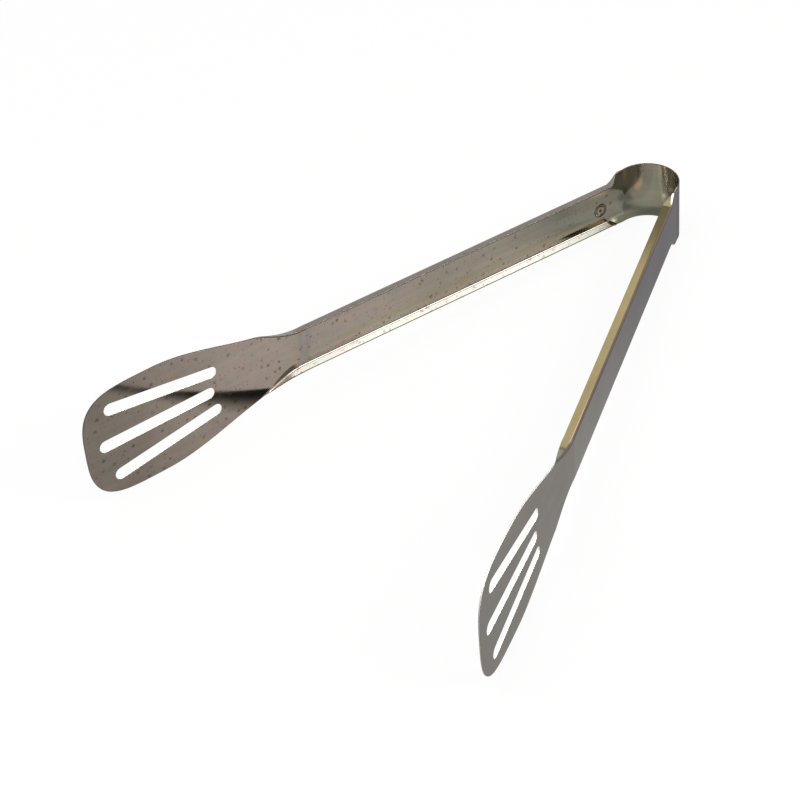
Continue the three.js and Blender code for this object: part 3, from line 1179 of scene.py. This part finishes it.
def rectangle(name: str, centre: Triple, first: Triple, second: Triple) -> bpy.types.Mesh:
    """A mesh of one flat face, with its own map.

    Args:
        name: the mesh's name.
        centre: the middle of the face.
        first: from the middle to one of its sides.
        second: from the middle to the next side.

    Returns:
        The mesh.
    """
    signs = np.array([[-1, -1], [1, -1], [1, 1], [-1, 1]])
    corners = np.array(centre) + signs @ np.array([first, second])
    mesh = bpy.data.meshes.new(name)
    mesh.from_pydata(corners.tolist(), [], [(0, 1, 2, 3)])
    layer = mesh.uv_layers.new(name=CARD_MAP)
    layer.data.foreach_set("uv", ((signs + 1) / 2).astype(np.float32).ravel())
    return mesh


def only_reflected(card: bpy.types.Object) -> None:
    """Makes an object a stage piece that neither the camera nor shadows see."""
    card.visible_camera = False
    card.visible_diffuse = False
    card.visible_shadow = False
    card.visible_transmission = False


@dataclass(frozen=True)
class Card:
    """A studio card that only reflections show: a rectangle of light with soft edges."""

    name: str
    centre: Triple
    first: Triple
    second: Triple
    colour: Triple
    softness: float = 0.15

    def build(self) -> None:
        """Makes the card, which fades out towards its edges."""
        made = bpy.data.materials.new(self.name)
        graph = NodeGraph(made)
        parts = graph.node("SeparateXYZ", {0: graph.node("UVMap", uv_map=CARD_MAP).outputs[0]})
        fades = []
        for axis in (0, 1):
            away = graph.math("ABSOLUTE", graph.math("SUBTRACT", parts.outputs[axis], 0.5))
            fades.append(graph.ramp(away, 0.5 - self.softness, 0.5, 1.0, 0.0))
        clear = graph.node("BsdfTransparent").outputs[0]
        glow = graph.node("Emission", {"Color": (*self.colour, 1.0)}).outputs[0]
        graph.finish(graph.node("MixShader", {0: graph.product(*fades), 1: clear, 2: glow}))
        mesh = rectangle(self.name, self.centre, self.first, self.second)
        only_reflected(join(self.name, mesh, made))


@dataclass(frozen=True)
class PaintedDarkReflection:
    """A painted dark reflection: a dark band on the floor sheet that the left blade mirrors, with
    one sharp, bowed side.
    """

    tip: Pair = (-0.0236, -0.1025)
    heading: Pair = (-0.547, 0.838)
    length: float = 0.0556
    bulge: float = 0.0024
    least_width: float = 0.0043
    spread: float = 0.0065
    colour: Triple = (0.03, 0.028, 0.026)
    sharp_edge: Pair = (-0.0004, 0.0008)
    soft_edge: Pair = (0.3, 1.7)
    near_end: Pair = (-0.05, 0.35)
    near_share: float = 0.9
    far_end: Pair = (1.15, 1.5)

    def share(self, graph: NodeGraph, place: Socket) -> Socket:
        """How dark each place is: most along the sharp side, then fading over the band's width.

        The sharp side is a flat parabola over the straight heading, and the width grows with the
        square of the run.

        Args:
            graph: the material's nodes.
            place: the place on the floor.

        Returns:
            The share of the band's colour.
        """
        first, second = self.heading
        away = graph.offset(place, self.tip)
        run = graph.math("DIVIDE", graph.reach(away, (first, second, 0.0)), self.length)
        off = graph.reach(away, (-second, first, 0.0))
        rise = graph.product(run, graph.math("SUBTRACT", 1.0, run))
        depth = graph.math("SUBTRACT", off, graph.product(rise, 4.0 * self.bulge))
        width = graph.total(graph.product(run, run, self.spread), self.least_width)
        return graph.product(
            graph.ramp(depth, *self.sharp_edge),
            graph.ramp(graph.math("DIVIDE", depth, width), *self.soft_edge, 1.0, 0.0),
            graph.ramp(run, *self.near_end, self.near_share, 1.0),
            graph.ramp(run, *self.far_end, 1.0, 0.0),
        )


@dataclass(frozen=True)
class Patch:
    """A soft oval of another tone on the sheet of painted reflections, a painted highlight where
    bright and painted dark where dark: metres, and degrees from +X.
    """

    centre: Pair
    heading: float
    half_length: float
    half_width: float
    colour: Triple
    cover: float = 1.0
    full_within: float = 0.15

    def share(self, graph: NodeGraph, place: Socket) -> Socket:
        """How much of the patch shows at each place: full in its middle, none at its edge.

        The change follows the sum of the squares of the shares of both half sizes.

        Args:
            graph: the material's nodes.
            place: the place on the floor.

        Returns:
            The share of the patch's colour.
        """
        heading = math.radians(self.heading)
        cosine, sine = math.cos(heading), math.sin(heading)
        away = graph.offset(place, self.centre)
        squares = []
        for axis, half in (
            ((cosine, sine, 0.0), self.half_length),
            ((-sine, cosine, 0.0), self.half_width),
        ):
            off = graph.math("ABSOLUTE", graph.math("DIVIDE", graph.reach(away, axis), half))
            squares.append(graph.math("POWER", off, 2.0))
        return graph.ramp(graph.total(*squares), self.full_within, 1.0, self.cover, 0.0)


@dataclass(frozen=True)
class OuterLine:
    """A line on the floor beyond which the painted shadow outside an arm shows, on the right side.
    """

    across: Triple
    inner: float
    outer: float

    def share(self, graph: NodeGraph, place: Socket) -> Socket:
        """0 before the line, 1 beyond it."""
        return graph.ramp(graph.reach(place, self.across), self.inner, self.outer)


@dataclass(frozen=True)
class Stretch:
    """A change to another tone along Y, from its start, where none of it shows, to its end."""

    start: float
    end: float
    colour: Triple

    def over(self, graph: NodeGraph, forth: Socket, tone: Triple | Socket) -> Socket:
        """The tone with this one over it, by how far forth each place lies."""
        return graph.blend(graph.ramp(forth, self.start, self.end), tone, self.colour)


@dataclass
class PaintedReflectionSheet:
    """A glowing sheet of painted reflections, the floor as the steel sees it: warm between the
    arms, grey by the bow, painted shadow outside the arms, and patches of painted highlight and
    dark.
    """

    half: float = 0.7
    lift: float = 0.0002
    warm: Triple = (0.90, 0.82, 0.77)
    stretches: tuple[Stretch, ...] = (
        Stretch(-0.01, 0.07, (0.75, 0.71, 0.64)),
        Stretch(0.065, 0.108, (0.43, 0.45, 0.39)),
        Stretch(-0.04, -0.125, (0.52, 0.48, 0.44)),
    )
    # Painted shadow: the floor beside the arms' outer sides, darker as the steel mirrors it, and
    # darker still by the bow
    outside: Triple = (0.45, 0.44, 0.425)
    outer_shadow_by_bow: Stretch = Stretch(-0.03, 0.12, (0.28, 0.275, 0.30))
    # Painted dark reflection for the left blade
    dark_reflection: PaintedDarkReflection = PaintedDarkReflection()
    arm_line: OuterLine = OuterLine((0.948, 0.317, 0.0), 0.0500, 0.0512)
    blade_line: OuterLine = OuterLine((0.964, 0.267, 0.0), 0.0526, 0.0536)
    # Painted highlights (the gold and bright ovals) and painted dark spots, for the bow's and arms'
    # reflections
    patches: tuple[Patch, ...] = (
        Patch((0.0020, 0.1150), 0.0, 0.0170, 0.0170, (0.52, 0.53, 0.46)),
        Patch((-0.0245, 0.0390), 75.6, 0.100, 0.0030, (0.82, 0.79, 0.58), 0.7),
        Patch((-0.0279, 0.0390), 75.6, 0.110, 0.0016, (0.99, 0.91, 0.77)),
        Patch((-0.0160, 0.0555), 76.5, 0.052, 0.0013, (0.95, 0.9, 0.7), 0.5),
        Patch((-0.0374, -0.0285), 15.0, 0.016, 0.0009, (0.62, 0.68, 0.76), 0.6),
        Patch((-0.0005, 0.1262), 0.0, 0.0105, 0.0052, (0.25, 0.28, 0.25)),
        Patch((-0.0015, 0.1060), 83.5, 0.0260, 0.0042, (0.60, 0.64, 0.56), 0.9),
        Patch((0.0130, 0.1135), 100.0, 0.0085, 0.0042, (0.95, 0.78, 0.52)),
        Patch((-0.0138, 0.0945), 100.0, 0.0075, 0.0030, (0.80, 0.80, 0.44)),
        Patch((-0.0142, 0.1125), 0.0, 0.0030, 0.0020, (0.40, 0.32, 0.29)),
        Patch((-0.0095, 0.1163), 0.0, 0.0025, 0.0016, (0.96, 1.0, 0.76)),
        Patch((-0.0101, 0.1156), 0.0, 0.0013, 0.0011, (2.2, 2.1, 1.5)),
    )

    def tone(self, graph: NodeGraph, place: Socket) -> Socket:
        """The sheet's colour at each place.

        Args:
            graph: the material's nodes.
            place: the place on the floor.

        Returns:
            The colour, patch over patch.
        """
        forth = graph.node("SeparateXYZ", {0: place}).outputs[1]
        tone = self.warm
        for stretch in self.stretches:
            tone = stretch.over(graph, forth, tone)
        for patch in self.patches:
            tone = graph.blend(patch.share(graph, place), tone, patch.colour)
        # Painted shadow beyond the lines outside the arm and the blade
        beyond = graph.math(
            "MAXIMUM", self.arm_line.share(graph, place), self.blade_line.share(graph, place)
        )
        tone = graph.blend(beyond, tone, self.outer_shadow_by_bow.over(graph, forth, self.outside))
        # The painted dark reflection goes over all other tones
        return graph.blend(self.dark_reflection.share(graph, place), tone, self.dark_reflection.colour)

    def build(self) -> None:
        """Makes the sheet, which only reflections show."""
        material = bpy.data.materials.new("painted_reflection_sheet")
        graph = NodeGraph(material)
        tone = self.tone(graph, graph.node("TexCoord").outputs["Object"])
        graph.finish(graph.node("Emission", {"Color": tone}))
        first, second = (self.half, 0.0, 0.0), (0.0, self.half, 0.0)
        mesh = rectangle("painted_reflection_sheet", (0.0, 0.0, self.lift), first, second)
        only_reflected(join("painted_reflection_sheet", mesh, material))


@dataclass(frozen=True)
class Lamp:
    """A soft square lamp that faces the origin, and that reflections don't show."""

    name: str
    place: Triple
    size: float
    power: float
    colour: Triple

    def build(self) -> None:
        """Makes the lamp."""
        data = bpy.data.lights.new(self.name, "AREA")
        data.shape, data.size = "SQUARE", self.size
        data.energy, data.color = self.power, self.colour
        lamp = bpy.data.objects.new(self.name, data)
        bpy.context.scene.collection.objects.link(lamp)
        aimed = (-Vector(self.place)).to_track_quat("-Z", "Y")
        lamp.matrix_world = Matrix.Translation(self.place) @ aimed.to_matrix().to_4x4()
        lamp.visible_glossy = False


@dataclass
class Studio:
    """A plain pale floor, soft lamps, a white surround, and cards for the steel to reflect."""

    floor_half: float = 3.0
    floor_colour: Triple = (0.86, 0.855, 0.85)
    floor_white: float = 0.92
    surround_level: float = 0.85
    lamps: tuple[Lamp, ...] = (
        Lamp("key_lamp", (0.95, 0.1, 0.85), 0.5, 6.0, (1.0, 0.98, 0.94)),
        Lamp("top_lamp", (-0.3, -0.5, 1.4), 0.8, 8.0, (1.0, 1.0, 1.0)),
    )
    cards: tuple[Card, ...] = (
        Card("grey_overhead", (-0.42, 0.47, 0.30), (0.16, 0, 0), (0, 0.24, 0), (0.66, 0.63, 0.60)),
        Card(
            "gold_overhead", (-0.025, 0.155, 0.15),
            (0.075, 0, 0), (0, 0.11, 0), (1.2, 1.05, 0.56), 0.2,
        ),
        Card(
            "olive_overhead", (-0.06, 0.29, 0.158),
            (0.09, 0, 0), (0, 0.12, 0), (0.40, 0.35, 0.18),
        ),
        Card("front_light", (0.005, -0.21, 0.235), (0.06, 0, 0), (0, 0.11, 0), (10.0, 9.3, 6.8)),
        Card("fold_light", (-0.215, 0.030, 0.148), (0, 0.034, 0), (0, 0, 0.028), (4.4, 3.9, 2.3)),
        Card("blade_light", (-0.025, -0.055, 0.152), (0.055, 0, 0), (0, 0.05, 0), (3.4, 3.0, 2.5)),
        Card("amber_spot", (0.05, 0.235, 0.235), (0.035, 0, 0), (0, 0.045, 0), (3.4, 2.1, 1.4)),
        Card("brown_upright", (0.12, 0.45, 0.15), (0.22, 0, 0), (0, 0, 0.149), (0.58, 0.42, 0.30)),
        Card(
            "window", (0.155, 0.085, 0.236),
            (-0.07, -0.165, 0), (0.05, -0.017, -0.04), (8.8, 10.0, 10.4),
        ),
        Card(
            "sill", (0.214, 0.09, 0.155),
            (-0.032, -0.115, 0), (0.025, -0.008, -0.03), (2.6, 2.5, 2.4),
        ),
    )

    @staticmethod
    def seen_directly(graph: NodeGraph) -> Socket:
        """1 for rays of the camera, and for those that metal or glass sends on."""
        path = graph.node("LightPath").outputs
        seen = graph.math("MAXIMUM", path["Is Camera Ray"], path["Is Glossy Ray"])
        return graph.math("MAXIMUM", seen, path["Is Transmission Ray"])

    def build_floor(self) -> None:
        """Makes the floor: pale, with part of its look its own so that shadows stay faint."""
        material = bpy.data.materials.new("floor")
        graph = NodeGraph(material)
        lit = graph.node("BsdfDiffuse", {"Color": (*self.floor_colour, 1.0)}).outputs[0]
        own = graph.node("Emission", {"Color": (1.0, 1.0, 1.0, 1.0)}).outputs[0]
        share = graph.product(self.seen_directly(graph), self.floor_white)
        graph.finish(graph.node("MixShader", {0: share, 1: lit, 2: own}))
        half = self.floor_half
        mesh = rectangle("floor", (0.0, 0.0, 0.0), (half, 0.0, 0.0), (0.0, half, 0.0))
        floor = join("floor", mesh, material)

    def build_surround(self) -> None:
        """Makes the world: white where it is seen, softer where it only lights."""
        world = bpy.data.worlds.new("surround")
        graph = NodeGraph(world)
        levels = {"Value": self.seen_directly(graph), "To Min": self.surround_level, "To Max": 1.0}
        level = graph.node("MapRange", levels).outputs[0]
        graph.finish(graph.node("Background", {"Strength": level}))
        bpy.context.scene.world = world

    def build(self) -> None:
        """Makes the whole stage and sets how colours are shown."""
        bpy.context.scene.view_settings.view_transform = "Standard"
        self.build_floor()
        self.build_surround()
        PaintedReflectionSheet().build()
        for item in (*self.cards, *self.lamps):
            item.build()


def main() -> None:
    """Builds the tongs, the studio and the camera, in order."""
    logging.basicConfig(level=logging.INFO, format="%(message)s")
    form = StripForm(StripSizes())
    standing = Standing(form, frame["joints"])
    mark = PressedMark()
    centre = ((form.bow_end + mark.distance) * MILLIMETRE, -mark.drop * MILLIMETRE)
    bow = SteelFinish("bow_steel", (0.34, 0.312, 0.27), 0.12)
    # The left arm carries the painted shade in its pressed mark's rings and dot
    left_arm = SteelFinish(
        "left_arm_steel", (0.34, 0.315, 0.288), 0.08,
        speck_strength=0.7, rim_and_sheen_colour=(0.21, 0.195, 0.175), ring_shade=PaintedRingShade(centre),
    )
    # Its pale rim colour is a painted highlight along the cut edges
    right_arm = SteelFinish(
        "right_arm_steel", (0.34, 0.317, 0.293), 0.09,
        speck_strength=0.1, shift=0.3, rim_and_sheen_colour=(0.4, 0.39, 0.35),
    )
    left_blade = SteelFinish("left_blade_steel", (0.34, 0.312, 0.285), 0.07, speck_strength=0.8)
    # Its pale rim colour is a painted highlight along the cut edges
    right_blade = SteelFinish(
        "right_blade_steel", (0.34, 0.318, 0.298), 0.15,
        speck_strength=0.12, shift=0.3, rim_and_sheen_colour=(0.58, 0.58, 0.56),
    )
    SpringBow(form, standing).build(bow.material())
    Arm(form, standing, Side.LEFT, mark).build(left_arm.material())
    Arm(form, standing, Side.RIGHT).build(right_arm.material())
    Blade(form, standing, Side.LEFT).build(left_blade.material())
    Blade(form, standing, Side.RIGHT).build(right_blade.material())
    Studio().build()
    PhotoCamera(standing).build()


if __name__ == "__main__":
    main()
